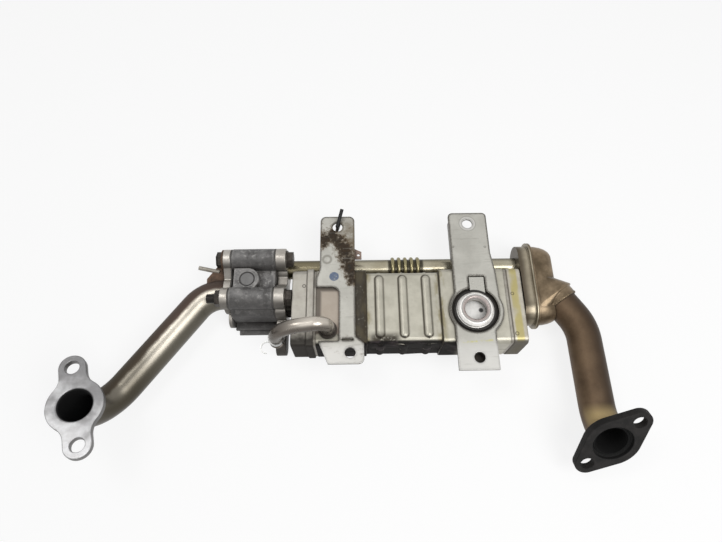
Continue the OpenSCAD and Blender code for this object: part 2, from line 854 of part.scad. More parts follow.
module drive_lever() {
    color([0.50, 0.49, 0.47]) translate([pivot_x, pivot_y, lever_z]) rotate(-50)
        linear_extrude(lever_t) difference() {
            union() {
                circle(hub_r + 1.5);
                bar([0, 0], [lever_l, 0], 8);
                translate([lever_l, 0]) circle(lever_end_r);
            }
            circle(shaft_d / 2);
            translate([lever_l, 0]) circle(2.2);
        }
}

// Outlet pipe

module pipe_outline() {
    c = [outlet_y, outlet_z];
    at_yz(c) circle(outlet_r + pipe_rim);
    for (p = BOLTS) {
        at_yz(p) circle(boss_r - 0.25);
        bar(p, c, 1.5 * boss_r);
    }
}

// Low lobe of that flange, which only its inner half thickness has
module pipe_foot_outline() {
    at_yz(flange_foot) circle(boss_r - 0.25);
    bar(flange_foot, [outlet_y, outlet_z], 1.5 * boss_r);
}

module pipe_gasket() {
    color([0.35, 0.34, 0.33]) along_x(pipe_x1, house_x0) difference() {
        union() {
            pipe_outline();
            pipe_foot_outline();
        }
        at_yz([outlet_y, outlet_z]) circle(outlet_r - outlet_wall);
        bolt_holes();
    }
}

module pipe_flange() {
    color([0.58, 0.55, 0.51]) difference() {
        union() {
            along_x(pipe_x0, pipe_x1) pipe_outline();
            along_x(pipe_x1 - pipe_flange_t / 2, pipe_x1) pipe_foot_outline();
        }
        along_x(pipe_x0 - 1, pipe_x1 + 1) {
            at_yz([outlet_y, outlet_z]) circle(outlet_r);
            bolt_holes();
        }
    }
}

module outlet_start() {
    head([pipe_x1, outlet_y, outlet_z], 180) children();
}

module outlet_after_turn() {
    outlet_start() translate([0, 0, outlet_lead]) rotate([0, 0, 90])
        after_bend(outlet_turn_r, outlet_turn) rotate([0, 0, -90]) children();
}

module outlet_at_rise() {
    outlet_after_turn() translate([0, 0, outlet_run]) rotate([0, 0, 180]) children();
}

// Frame on the face of the outlet flange, Z out of the bore
module outlet_face() {
    outlet_at_rise() after_bend(outlet_rise_r, outlet_rise)
        translate([0, 0, outlet_tail]) children();
}

// Lead and turn of the outlet pipe
module outlet_turned(wall) {
    outlet_start() {
        run(outlet_r, wall, outlet_lead, 0, lap);
        translate([0, 0, outlet_lead]) rotate([0, 0, 90])
            bend(outlet_r, wall, outlet_turn_r, outlet_turn);
    }
    outlet_after_turn() run(outlet_r, wall, outlet_run, lap, lap);
}

module outlet_pipe() {
    seat = outlet_flange_t / 2;
    color([0.62, 0.58, 0.51]) {
        outlet_turned(outlet_wall);
        outlet_at_rise() bend(outlet_r, outlet_wall, outlet_rise_r, outlet_rise);
        outlet_at_rise() after_bend(outlet_rise_r, outlet_rise)
            run(outlet_r, outlet_wall, outlet_tail - seat, lap, 0);
    }
}

module outlet_flange() {
    seat = outlet_flange_t / 2;
    half = outlet_bolts / 2;
    bore_r = outlet_r - outlet_wall;
    color([0.80, 0.80, 0.79]) outlet_face() rotate([0, 0, outlet_roll]) difference() {
        translate([0, 0, -outlet_flange_t]) linear_extrude(outlet_flange_t)
            waisted_flange(outlet_mid_r, outlet_ear_r, half, 14);
        translate([0, 0, -outlet_flange_t - 1]) cylinder(r = bore_r, h = outlet_flange_t + 2);
        translate([0, 0, -outlet_flange_t - 1]) cylinder(r = outlet_r, h = 1 + outlet_flange_t - seat);
        translate([0, 0, -1.5]) cylinder(r1 = bore_r, r2 = bore_r + 2, h = 1.5 + EPS);
        for (s = [-1, 1]) translate([s * half, 0, -outlet_flange_t - 1])
            cylinder(d = outlet_hole_d, h = outlet_flange_t + 2);
    }
}

// Fasteners of the housing

module housing_bolts() {
    color([0.28, 0.27, 0.26]) for (i = [0 : len(BOLTS) - 1]) {
        end_x = pipe_x0 - nut_pack[i] - nut_h - thread_end[i];
        along_x(end_x, flange_x1 + EPS) at_yz(BOLTS[i]) circle(bolt_d / 2);
        along_x(flange_x1, flange_x1 + head_washer_t) at_yz(BOLTS[i]) circle(head_washer_r);
        along_x(flange_x1, flange_x1 + head_washer_t + head_h) at_yz(BOLTS[i])
            circle(hex_r, $fn = 6);
    }
}

module housing_nuts() {
    color([0.32, 0.31, 0.30]) for (i = [0 : len(BOLTS) - 1]) {
        x1 = pipe_x0 - nut_pack[i];
        along_x(x1 - nut_h, x1) at_yz(BOLTS[i]) difference() {
            rotate(30) circle(hex_r, $fn = 6);
            circle(bolt_d / 2);
        }
    }
}

// Stay between the far bolt and the outlet pipe

module pin_at() {
    head([pipe_x0 - 7, bolt_far[0] - 6, stay_z - stay_t / 2], 167) children();
}

module pipe_stay() {
    y = bolt_far[0];
    color([0.33, 0.25, 0.20]) difference() {
        union() {
            along_x(pipe_x0 - stay_t, pipe_x0) {
                at_yz(bolt_far) circle(boss_r - 0.5);
                bar(bolt_far, [y, stay_z - stay_t], 2 * stay_half);
            }
            translate([pipe_x0, 0, stay_z - stay_t]) linear_extrude(stay_t)
                polygon([[0, y + stay_half], [0, y - stay_half], [-2, outlet_y], [-17, outlet_y],
                    [-18, y - 13], [-6, y + stay_half - 4]]);
        }
        along_x(pipe_x0 - 9, pipe_x0 + 1) at_yz(bolt_far) circle(bolt_hole_r);
        outlet_turned(outlet_r);
        pin_at() cylinder(d = pin_d, h = 40);
    }
}

module stay_pin() {
    color([0.45, 0.42, 0.38]) pin_at() difference() {
        cylinder(d = pin_d, h = 20);
        translate([0, 0, 4]) cylinder(d = pin_d - 1.4, h = 20);
    }
}

// Coolant pipe, port and clip

module coolant_top() {
    translate([coolant_at[0], coolant_at[1], top_z - sheet]) rotate([0, 0, coolant_az]) children();
}

module coolant_level() {
    coolant_top() translate([0, 0, coolant_rise + sheet]) after_bend(coolant_bend_r, 90) children();
}

module coolant_down() {
    coolant_level() translate([0, 0, coolant_run]) children();
}

module coolant_tip() {
    coolant_down() after_bend(coolant_fall_r, 90) children();
}

module coolant_inlet_pipe() {
    r = coolant_r;
    wall = coolant_wall;
    color([0.52, 0.48, 0.42]) {
        coolant_top() {
            run(r, wall, coolant_rise + sheet, 0, lap);
            translate([0, 0, coolant_rise + sheet]) bend(r, wall, coolant_bend_r, 90);
        }
        coolant_level() run(r, wall, coolant_run, lap, lap);
        coolant_down() bend(r, wall, coolant_fall_r, 90);
        coolant_tip() rotate_extrude() {
            translate([r - wall, -lap]) square([wall, coolant_end + lap]);
            translate([r - 0.1, coolant_end - 1.6]) intersection() {
                circle(0.9);
                translate([0, -1]) square(2);
            }
        }
    }
}

module coolant_collar() {
    color([0.30, 0.28, 0.26]) translate([coolant_at[0], coolant_at[1], top_z]) difference() {
        cylinder(r = coolant_r + 1.8, h = 2);
        translate([0, 0, -1]) cylinder(r = coolant_r, h = 4);
    }
}

// Spring clip slid back on the coolant pipe, with one ear standing off
module hose_clip() {
    band = 4.5;
    t = 0.9;
    color([0.72, 0.72, 0.71]) coolant_tip() translate([0, 0, 0.6]) {
        linear_extrude(band) difference() {
            circle(coolant_r + t);
            circle(coolant_r);
        }
        rotate([0, 0, 138]) translate([coolant_r + t + 4.2, 0, band / 2 - 0.6])
            rotate_extrude(angle = 250, start = -45) translate([4.4, 0]) square([t, 1.2]);
    }
}

module coolant_outlet_port() {
    bore_r = port_bore_d / 2;
    color([0.66, 0.66, 0.66]) translate([port_at[0], port_at[1], top_z]) difference() {
        union() {
            cylinder(r = port_base_r, h = 1.5);
            rotate_extrude() polygon([[0, 0], [port_r, 0], [port_r, port_h - 2.2], [port_r - 2, port_h],
                [0, port_h]]);
            translate([-tongue_w / 2 + 3.5, 0, 0])
                cube([tongue_w, tongue_y - port_at[1], bracket_t - 0.3]);
        }
        translate([0, 0, -1]) cylinder(r = bore_r, h = port_h + 2);
        translate([0, 0, port_h - 1.2]) cylinder(r1 = bore_r, r2 = bore_r + 1.2, h = 1.2 + EPS);
    }
}

// Brackets

// Sheet strip with turned-down long edges, from y0 to y1
module arm_edges(x0, x1, y0, y1) {
    for (x = [x0, x1 - bracket_t])
        translate([x, y0, top_z + EPS - edge_h]) cube([bracket_t, y1 - y0, edge_h]);
}

module cold_bracket() {
    win_r = 6;
    win_x = cold_br_x + 1.3;
    win_y0 = -jacket_w / 2 + 2.4;
    win_y1 = 16.5;
    r = 5;
    side_x = cold_br_r + 7;
    color([0.70, 0.69, 0.66]) {
        translate([0, 0, top_z]) linear_extrude(bracket_t) difference() {
            union() {
                translate([cold_br_l, win_y0]) square([cold_bracket_w, arm_y - win_y0 - r]);
                translate([cold_br_l + r, arm_y - 2 * r]) square([cold_bracket_w - 2 * r, 2 * r]);
                for (x = [cold_br_l + r, cold_br_r - r]) translate([x, arm_y - r]) circle(r);
                polygon([[cold_br_l + EPS, cold_neck_y[0]], [jx0, cold_neck_y[1]], [jx0, win_y1],
                    [cold_br_x, win_y1]]);
                polygon([[jx0 + 2.5, win_y0 - EPS], [jx0 + 11, foot_y], [side_x - r, foot_y],
                    [side_x, foot_y + r], [side_x, win_y0 - 2], [cold_br_r - 2, win_y0 + 6]]);
                translate([side_x - r, foot_y + r]) circle(r);
            }
            translate([jx0 - 1, win_y0]) square([win_x - win_r - jx0 + 1, win_y1 - win_y0]);
            translate([jx0 - 1, win_y0]) square([win_x - jx0 + 1, win_y1 - win_r - win_y0]);
            translate([win_x - win_r, win_y1 - win_r]) circle(win_r);
            translate([win_x + 2.5, win_y0 + 0.5]) square([10, 1.6]);
            translate(cold_arm_hole) circle(d = bracket_hole_d);
            translate(cold_foot_hole) circle(d = bracket_hole_d);
        }
        arm_edges(cold_br_l, cold_br_r, jacket_w / 2 + 4, arm_y - 2 * r);
    }
}

module hot_bracket() {
    r = 4;
    ring = [port_at[0] + 1, port_at[1]];
    key_w = tongue_w + 2 * tongue_gap;
    color([0.72, 0.71, 0.69]) {
        translate([0, 0, top_z]) linear_extrude(bracket_t) difference() {
            union() {
                translate([hot_br_l, ring[1]]) square([hot_bracket_w, hot_arm_y - ring[1] - r]);
                translate([hot_br_l + r, hot_arm_y - 2 * r]) square([hot_bracket_w - 2 * r, 2 * r]);
                for (x = [hot_br_l + r, hot_br_r - r]) translate([x, hot_arm_y - r]) circle(r);
                polygon([[hot_br_r - EPS, 48], [hot_br_r + 2.5, 30], [hot_br_r + 4, ring[1]],
                    [ring[0], ring[1]]]);
                translate(ring) circle(port_open_r + 3.5);
                translate([hot_br_l - 2, hot_foot_y]) square([hot_bracket_w - 1, ring[1] - hot_foot_y]);
            }
            translate(port_at) circle(port_open_r);
            translate([port_at[0] + 3.5 - key_w / 2, port_at[1]])
                square([key_w, tongue_y + tongue_gap - port_at[1]]);
            translate(hot_arm_hole) circle(d = bracket_hole_d);
            translate(hot_foot_hole) circle(d = bracket_hole_d);
        }
        arm_edges(hot_br_l, hot_br_r, jacket_w / 2 + 4, hot_arm_y - 2 * r);
    }
}

// Left-over stem of a plastic clip, its foot bar caught under the cold bracket's arm hole
module tie_clip() {
    stem_d = 3.2;
    stem_az = 73;
    foot_l = bracket_hole_d + 5;
    rise = bracket_t + 1.4;
    color([0.05, 0.05, 0.05]) translate([cold_arm_hole[0], cold_arm_hole[1], top_z]) rotate(stem_az) {
        translate([-foot_l / 2, -1.3, -2]) cube([foot_l, 2.6, 2]);
        translate([0, 0, -1]) cylinder(d = stem_d, h = rise + 1);
        translate([0, 0, rise]) {
            sphere(d = stem_d + 0.4);
            rotate([0, 68, 0]) cylinder(d = stem_d, h = 16);
        }
    }
}

// Small lug for a harness, on the turned-down edge of the cold bracket's arm
module harness_tab() {
    color([0.45, 0.40, 0.36])
        translate([cold_br_r, jacket_w / 2 + 11, top_z - edge_h + 0.8]) linear_extrude(1.5)
        difference() {
            polygon([[0, 0], [6, 0], [6, 7], [0, 10]]);
            translate([3.2, 4]) circle(1.3);
        }
}

jacket_upper();
jacket_lower();
inlet_header();
outlet_header();
gas_tubes();
inlet_tank();
outlet_tank();
inlet_pan();
inlet_cap();
exhaust_pipe();
exhaust_flange();
bypass_pipe();
cooler_flange();
cooler_gasket();
valve_housing();
upper_bush();
lower_bush();
shaft_plug();
valve_shaft();
valve_flap();
drive_lever();
pipe_gasket();
pipe_flange();
outlet_pipe();
outlet_flange();
housing_bolts();
housing_nuts();
pipe_stay();
stay_pin();
coolant_inlet_pipe();
coolant_collar();
hose_clip();
coolant_outlet_port();
cold_bracket();
hot_bracket();
tie_clip();
harness_tab();
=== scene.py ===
# Exhaust gas cooler with bypass pipe and flap valve, taken off an engine and laid on a bench.
# Pressed and bent steel, a cast valve housing and two bolted flanges, stained by heat and oil.
import json
import math

import bmesh
import bpy
from mathutils import Matrix, Vector
from mathutils.bvhtree import BVHTree


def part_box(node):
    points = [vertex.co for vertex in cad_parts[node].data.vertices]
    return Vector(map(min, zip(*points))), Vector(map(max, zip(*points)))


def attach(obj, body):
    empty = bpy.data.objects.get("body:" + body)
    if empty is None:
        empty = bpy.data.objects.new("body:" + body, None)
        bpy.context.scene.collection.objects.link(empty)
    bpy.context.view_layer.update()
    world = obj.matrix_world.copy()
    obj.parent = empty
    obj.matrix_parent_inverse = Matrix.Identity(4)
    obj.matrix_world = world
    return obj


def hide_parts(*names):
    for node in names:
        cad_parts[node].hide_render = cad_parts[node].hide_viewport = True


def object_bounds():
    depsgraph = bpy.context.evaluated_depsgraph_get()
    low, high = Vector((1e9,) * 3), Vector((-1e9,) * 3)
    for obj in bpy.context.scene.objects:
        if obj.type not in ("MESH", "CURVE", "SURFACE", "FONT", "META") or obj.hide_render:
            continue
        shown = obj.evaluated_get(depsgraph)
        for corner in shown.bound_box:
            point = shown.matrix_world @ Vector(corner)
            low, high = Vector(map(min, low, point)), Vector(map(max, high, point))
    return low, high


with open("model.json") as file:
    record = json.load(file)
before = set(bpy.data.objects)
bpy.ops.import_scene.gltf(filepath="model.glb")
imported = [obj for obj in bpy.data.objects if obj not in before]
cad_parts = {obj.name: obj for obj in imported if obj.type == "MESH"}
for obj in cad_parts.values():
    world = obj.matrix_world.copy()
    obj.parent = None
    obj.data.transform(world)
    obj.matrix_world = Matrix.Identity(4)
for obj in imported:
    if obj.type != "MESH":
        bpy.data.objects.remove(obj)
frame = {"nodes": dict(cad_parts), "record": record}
cad_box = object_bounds()


# Bench: a plain white table top that the cooler lies on, lit by two soft boxes and a pale
# room, and the camera that looks down at it from the front.
class Level:
    """One socket of a node tree, with arithmetic that adds Math nodes."""

    def __init__(self, maker, socket):
        self.maker = maker
        self.socket = socket

    def math(self, operation, a, b=0.0):
        return self.maker.node("Math", {"operation": operation}, {0: a, 1: b})

    def __add__(self, other):
        return self.math("ADD", self, other)

    def __radd__(self, other):
        return self.math("ADD", other, self)

    def __sub__(self, other):
        return self.math("SUBTRACT", self, other)

    def __rsub__(self, other):
        return self.math("SUBTRACT", other, self)

    def __mul__(self, other):
        return self.math("MULTIPLY", self, other)

    def __rmul__(self, other):
        return self.math("MULTIPLY", other, self)

    def __abs__(self):
        return self.math("ABSOLUTE", self)

    def most(self, other):
        return self.math("MAXIMUM", self, other)

    def root(self):
        return self.math("SQRT", self)

    def rise(self, low, high):
        return self.maker.node(
            "MapRange", {"interpolation_type": "SMOOTHSTEP"}, {0: self, 1: low, 2: high}
        )

    def fall(self, low, high):
        return 1 - self.rise(low, high)

    def band(self, low, high, soft):
        return self.rise(low - soft, low + soft) * self.fall(high - soft, high + soft)


class Nodes:
    """A node tree, and the one method that adds a node to it."""

    def __init__(self, tree):
        self.tree = tree

    def node(self, kind, settings=None, sockets=None, out=0):
        made = self.tree.nodes.new("ShaderNode" + kind)
        for name, value in (settings or {}).items():
            setattr(made, name, value)
        for key, value in (sockets or {}).items():
            self.join(value, made.inputs[key])
        return Level(self, made.outputs[out])

    def join(self, value, socket):
        if isinstance(value, Level):
            self.tree.links.new(value.socket, socket)
        elif socket.type == "RGBA" and len(value) == 3:
            socket.default_value = (*value, 1.0)
        else:
            socket.default_value = value

    def shown(self):
        """1 where the camera sees a surface, straight or in metal or glass."""
        seen = self.node("LightPath", out="Is Camera Ray")
        for ray in ("Is Glossy Ray", "Is Transmission Ray"):
            seen = seen.most(self.node("LightPath", out=ray))
        return seen


class Finish(Nodes):
    """A material that reads object coordinates and surface normals."""

    def __init__(self, name, roughness, metallic=0.0):
        self.material = bpy.data.materials.new(name)
        self.material.use_nodes = True
        super().__init__(self.material.node_tree)
        self.shader = self.tree.nodes["Principled BSDF"]
        self.feed("Roughness", roughness)
        self.feed("Metallic", metallic)
        self.place = self.node("TexCoord", out="Object")
        self.facing = self.node("TexCoord", out="Normal")
        self.x, self.y, self.z = (
            self.node("SeparateXYZ", None, {0: self.place}, out=i) for i in range(3)
        )

    def feed(self, socket, value):
        self.join(value, self.shader.inputs[socket])

    def vector(self, operation, a, b, out=0):
        return self.node("VectorMath", {"operation": operation}, {0: a, 1: b}, out)

    def mix(self, share, under, over):
        return self.node("Mix", {"data_type": "RGBA"}, {0: share, 6: under, 7: over}, out=2)

    def toward(self, direction):
        return self.vector("DOT_PRODUCT", self.facing, Vector(direction).normalized(), "Value")

    def noise(self, size, detail=4.0, rough=0.55, stretch=(1, 1, 1), seed=0.0):
        where = self.vector("MULTIPLY", self.place, stretch)
        where = self.vector("ADD", where, (seed, -seed, 2 * seed))
        sockets = {"Vector": where, "Scale": 1 / size, "Detail": detail, "Roughness": rough}
        return self.node("TexNoise", None, sockets)

    def grain(self, height, strength, depth):
        sockets = {"Strength": strength, "Distance": depth, "Height": height}
        self.feed("Normal", self.node("Bump", None, sockets))

    def gap(self, centre):
        """Distance from an upright line through centre."""
        flat = self.vector("MULTIPLY", self.place, (1, 1, 0))
        return self.vector("DISTANCE", flat, (*centre, 0), "Value")

    def past(self, point, axis):
        """Distance beyond point, along axis."""
        away = self.vector("SUBTRACT", self.place, point)
        return self.vector("DOT_PRODUCT", away, axis, "Value")

    def off_line(self, point, axis):
        """Distance from a line through point."""
        away = self.vector("SUBTRACT", self.place, point)
        across = self.vector("CROSS_PRODUCT", away, axis)
        return self.node("VectorMath", {"operation": "LENGTH"}, {0: across}, "Value")

    def off_bend(self, centre, axis, radius):
        """Distance from the middle line of a bent pipe."""
        along = self.past(centre, axis)
        reach = self.off_line(centre, axis) - radius
        return (along * along + reach * reach).root()

    def sooted(self, mouth, out, centre, axis, radius, inner, deep):
        """Mask of the inside of a pipe, from its mouth round its last bend."""
        wall, fade, straight = 0.0001, 0.002, 0.018
        reach = self.vector("DISTANCE", self.place, mouth, "Value")
        bend = self.off_bend(centre, axis, radius).fall(inner, inner + wall)
        tail = self.off_line(mouth, out).fall(inner, inner + wall)
        bend = bend * reach.fall(deep - fade, deep)
        return bend.most(tail * reach.fall(straight - fade, straight))


scene = bpy.context.scene
white, bench_white = (1.0, 1.0, 1.0), (0.93, 0.93, 0.93)
bench_reach, bench_roughness, bench_glow, room_strength = 4.0, 0.9, 0.82, 0.27

bench_mesh = bpy.data.meshes.new("bench")
table = bmesh.new()
bmesh.ops.create_grid(table, x_segments=1, y_segments=1, size=bench_reach)
table.to_mesh(bench_mesh)
table.free()
bench = bpy.data.objects.new("bench", bench_mesh)
scene.collection.objects.link(bench)
matt = Finish("bench_white", bench_roughness)
matt.feed("Base Color", bench_white)
glow = matt.node("Emission", None, {"Color": white, "Strength": 1.0})
plain = Level(matt, matt.shader.outputs[0])
top = matt.node("MixShader", None, {0: bench_glow * matt.shown(), 1: plain, 2: glow})
matt.join(top, matt.tree.nodes["Material Output"].inputs["Surface"])
bench_mesh.materials.append(matt.material)

room = bpy.data.worlds.new("room")
room.use_nodes = True
air = Nodes(room.node_tree)
sky = air.tree.nodes["Background"]
air.join(white, sky.inputs["Color"])
air.join(room_strength, sky.inputs["Strength"])
backdrop = air.node("Background", None, {"Color": white, "Strength": 1.0})
around = air.node("MixShader", None, {0: air.shown(), 1: Level(air, sky.outputs[0]), 2: backdrop})
air.join(around, air.tree.nodes["World Output"].inputs["Surface"])
scene.world = room

lit_spot = Vector((-0.04, -0.02, 0))


def soft_box(name, place, size, power):
    lamp = bpy.data.lights.new(name, "AREA")
    lamp.shape = "SQUARE"
    lamp.size = size
    lamp.energy = power
    box = bpy.data.objects.new(name, lamp)
    box.location = place
    box.rotation_euler = (lit_spot - Vector(place)).to_track_quat("-Z", "Y").to_euler()
    scene.collection.objects.link(box)


soft_box("front_box", (0.42, -0.45, 1.00), 0.7, 8.5)
soft_box("top_box", (-0.48, 0.16, 1.10), 0.40, 2.8)

sensor, focal_px, frame_px = 36.0, 540, 722
eye_place, eye_tilt, eye_turn = (-0.04586, -0.16173, 0.4782), 24, -0.8
eye = bpy.data.cameras.new("eye")
eye.sensor_width = sensor
eye.lens = sensor * focal_px / frame_px
camera = bpy.data.objects.new("eye", eye)
camera.location = eye_place
camera.rotation_euler = (math.radians(eye_tilt), 0, math.radians(eye_turn))
scene.collection.objects.link(camera)
scene.camera = camera
scene.view_settings.view_transform = "Standard"


# Coolant jacket: two pressed halves of thin steel sheet, brazed at mid height, with raised
# bands at the ends and a ribbed panel between. Oil has run down beside the panel and onto
# its front edge. Painted shade darkens the creases, the window under the cold bracket, the
# gap round the port and the front side.
class Satin(Finish):
    """Satin metal with cloudy tone, painted shade in its corners and stains laid over it in turn.

    Where edge is more than 0, a line of another tone runs along its edges."""

    def __init__(
        self, name, tone, shade, roughness=0.42, metallic=0.6, size=0.012, corner_shade=0.75, bump=0.15,
        edge=0.0, edge_tone=(0.045, 0.038, 0.030), edge_reach=0.0013,
    ):
        super().__init__(name, roughness, metallic)
        gloss, fleck_size, fleck_share, bump_depth = 0.2, 0.0012, 0.15, 0.0003
        corner_reach, corner_shade_brown = 0.007, (0.030, 0.025, 0.019)
        self.feed("Specular IOR Level", gloss)
        cloud = self.noise(size, 5.0, 0.6)
        fleck = self.noise(fleck_size, 3.0, 0.6, seed=3.0)
        self.colour = self.mix(cloud.rise(0.3, 0.7), shade, tone)
        self.stain(fleck.rise(0.55, 0.75) * fleck_share, shade)
        # Painted shade: darker in corners and creases, where other surfaces are near.
        corner = (self.clear(corner_reach) - 0.25 * (cloud - 0.5)).fall(0.30, 0.86)
        self.stain(corner_shade * corner, corner_shade_brown)
        if edge:
            line = (self.clear(edge_reach, inside=True) + 0.4 * (fleck - 0.5)).fall(0.65, 1.0)
            self.stain(edge * line, edge_tone)
        self.rough = roughness - 0.08 + 0.16 * cloud
        self.grain(fleck + 0.6 * cloud, bump, bump_depth)

    def clear(self, reach, inside=False):
        """1 where nothing of the piece is within reach, on the outside or under the skin."""
        settings = {"samples": 8, "inside": inside}
        return self.node("AmbientOcclusion", settings, {"Distance": reach}, out="AO")

    def stain(self, share, tone):
        self.colour = self.mix(share, self.colour, tone)

    def paint(self, rougher=0.0, metal=None):
        self.feed("Base Color", self.colour)
        self.feed("Roughness", self.rough + rougher if rougher else self.rough)
        if metal:
            self.feed("Metallic", metal)


mounts = {m["name"]: m for m in frame["record"]["mounts"]}
slots = {s["node"]: s["material_slot"] for s in frame["record"]["subparts"]}


def dress(finish, *nodes):
    for name in nodes:
        for slot in frame["nodes"][name].material_slots:
            slot.material = finish.material


def piece(name, shape, finish, slot, *nodes):
    """Make a finished shape a piece of the cooler, standing for any nodes it is a copy of."""
    crisp = math.radians(36)
    mesh = bpy.data.meshes.new(name)
    for face in shape.faces:
        face.smooth = True
    shape.to_mesh(mesh)
    shape.free()
    mesh.set_sharp_from_angle(angle=crisp)
    mesh.materials.append(finish.material)
    made = bpy.data.objects.new(name, mesh)
    scene.collection.objects.link(made)
    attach(made, "cooler")
    if nodes:
        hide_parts(*nodes)
    level = made.modifiers.new("level_faces", "WEIGHTED_NORMAL")
    level.weight = 100
    level.keep_sharp = True


def ease(finish, width, *nodes):
    """Copy solids with their sharp edges rounded over, as pressing and tumbling leave them."""
    weld_gap, flat_turn, sharp_turn = 0.0003, math.radians(0.6), math.radians(38)
    most_stray = 0.34 * width
    for name in nodes:
        shape = bmesh.new()
        shape.from_mesh(frame["nodes"][name].data)
        skin = BVHTree.FromBMesh(shape)
        bmesh.ops.remove_doubles(shape, verts=shape.verts, dist=weld_gap)
        bmesh.ops.dissolve_limit(
            shape, angle_limit=flat_turn, verts=shape.verts, edges=shape.edges
        )
        sharp = [e for e in shape.edges if e.is_manifold and e.calc_face_angle() > sharp_turn]
        bmesh.ops.bevel(
            shape, geom=sharp, offset=width, offset_type="OFFSET", segments=2, profile=0.5,
            affect="EDGES", material=-1, clamp_overlap=False,
        )
        for corner in shape.verts:
            spot, _, _, stray = skin.find_nearest(corner.co)
            if stray > most_stray:
                corner.co = spot
            corner.co.z = max(corner.co.z, cad_box[0][2])
        piece(name + "_eased", shape, finish, slots[name], name)


up, forward, pressed_edge = (0, 0, 1), (0, -1, 0), 0.0007
panel_mid, panel_left, panel_right, step_soft = -0.007, -0.039, 0.025, 0.0004
rib_pitch, rib_half, rib_reach = 0.0205, 0.0037, 0.0248
strip_left, strip_right = -0.0505, -0.0393
window_left, window_right, window_front, window_back = -0.0835, -0.0595, -0.025, 0.0165
port_centre = mounts["coolant_outlet"]["pos_m"][:2]
film_olive, crease_shade_brown = (0.20, 0.165, 0.075), (0.045, 0.037, 0.026)
oil_dark, oil_brown = (0.018, 0.012, 0.006), (0.050, 0.038, 0.019)
window_shade_tan, window_shade_dark = (0.27, 0.205, 0.17), (0.050, 0.043, 0.036)
gap_shadow_black = (0.014, 0.012, 0.010)
front_shade_black, front_shade_grey = (0.006, 0.005, 0.005), (0.036, 0.028, 0.030)

shell = Satin("jacket_steel", (0.48, 0.46, 0.39), (0.39, 0.372, 0.31), corner_shade=0.9, edge=0.5)
rib_side = shell.node(
    "Math", {"operation": "WRAP"}, {0: shell.x - panel_mid, 1: -rib_pitch / 2, 2: rib_pitch / 2}
)
rib_x = abs(rib_side)
rib_y = (abs(shell.y) - rib_reach).most(0.0)
rib_gap = abs((rib_x * rib_x + rib_y * rib_y).root() - rib_half)
on_panel = shell.x.band(panel_left + step_soft, panel_right - step_soft, step_soft)
# Painted shade: dark lines round the ribs, heavier on their left and front sides, and along the
# panel's steps.
crease_shade = rib_gap.fall(0.0002, 0.0013) * on_panel * shell.z.rise(0.037, 0.039)
shaded_side = rib_side.fall(-0.002, 0.003).most(shell.y.fall(-0.027, -0.024))
crease_shade = crease_shade * (0.65 + 0.35 * shaded_side)
near_step = abs(abs(shell.x - panel_mid) - (panel_right - panel_left) / 2)
film = shell.noise(0.006, 4.0, 0.6, (1, 0.4, 1), seed=8.0)
shell.stain(0.75 * near_step.fall(0.0005, 0.0065) * film.rise(0.40, 0.62), film_olive)
shell.stain((0.92 * crease_shade).most(0.9 * near_step.fall(0.0003, 0.0014)), crease_shade_brown)

upper = shell.z.rise(0.028, 0.034)
speckle = shell.noise(0.0024, 5.0, 0.7, seed=7.0)
drip = shell.noise(0.009, 4.0, 0.6, (1, 0.5, 1), seed=1.0)
oil_strip = shell.x.band(strip_left, strip_right, 0.0008) * (speckle + 0.5 * drip).rise(0.46, 0.66)
oil_foot = shell.x.band(-0.036, -0.012, 0.004) * shell.y.fall(-0.0290, -0.0215)
oil_foot = oil_foot * (speckle + 0.6 * drip).rise(0.52, 0.78)
oil = oil_strip.most(oil_foot) * upper
shell.stain(0.93 * oil, shell.mix(drip.rise(0.45, 0.65), oil_dark, oil_brown))

# Painted shade in the cold bracket's window, darker along its left and back edges.
window_shade = shell.x.band(window_left, window_right, 0.001)
window_shade = window_shade * shell.y.band(window_front, window_back, 0.001) * upper
shell.stain(0.55 * window_shade, window_shade_tan)
window_edge_shade = window_shade * shell.x.fall(-0.0795, -0.0765).most(shell.y.rise(0.0120, 0.0150))
shell.stain(0.75 * window_edge_shade, window_shade_dark)
# Painted shadow in the gap between the port's foot and the bracket's opening.
port_ring_shadow = shell.gap(port_centre).band(0.0165, 0.0206, 0.0005) * upper
shell.stain(0.97 * port_ring_shadow, gap_shadow_black)

# Painted shade: the front side, short of the hot end, is painted near black in patches.
front_shade = shell.toward(forward).rise(0.45, 0.8) * shell.x.fall(0.036, 0.050)
patch = shell.noise(0.011, 3.0, 0.5, (1, 0.3, 1.6), seed=5.0)
shell.stain(0.98 * front_shade, shell.mix(patch.rise(0.54, 0.66), front_shade_black, front_shade_grey))
shell.paint(0.5 * front_shade.most(0.35 * oil), 0.6 * (1 - oil.most(front_shade)))
ease(shell, pressed_edge, "jacket_upper", "jacket_lower")


# Core: two header plates and a row of flat gas tubes, of thin stainless sheet. They are
# brazed together and into the ends of the jacket, where nothing of them shows.
core = Satin("core_steel", (0.36, 0.34, 0.30), (0.22, 0.20, 0.17), 0.45)
core.paint()
dress(core, "inlet_header", "outlet_header", "gas_tubes")


# Gas tanks: short pressed boxes brazed on the two headers. The hot one has gone straw
# yellow in a strip. Both carry painted shade on their front sides, near black on the cold one.
def pit(finish, centre, radius):
    """Small round dint in an upper face: a dark rim and a paler middle."""
    rim = finish.gap(centre).band(0.55 * radius, radius, 0.15 * radius)
    return rim * finish.toward(up).rise(0.5, 0.8)


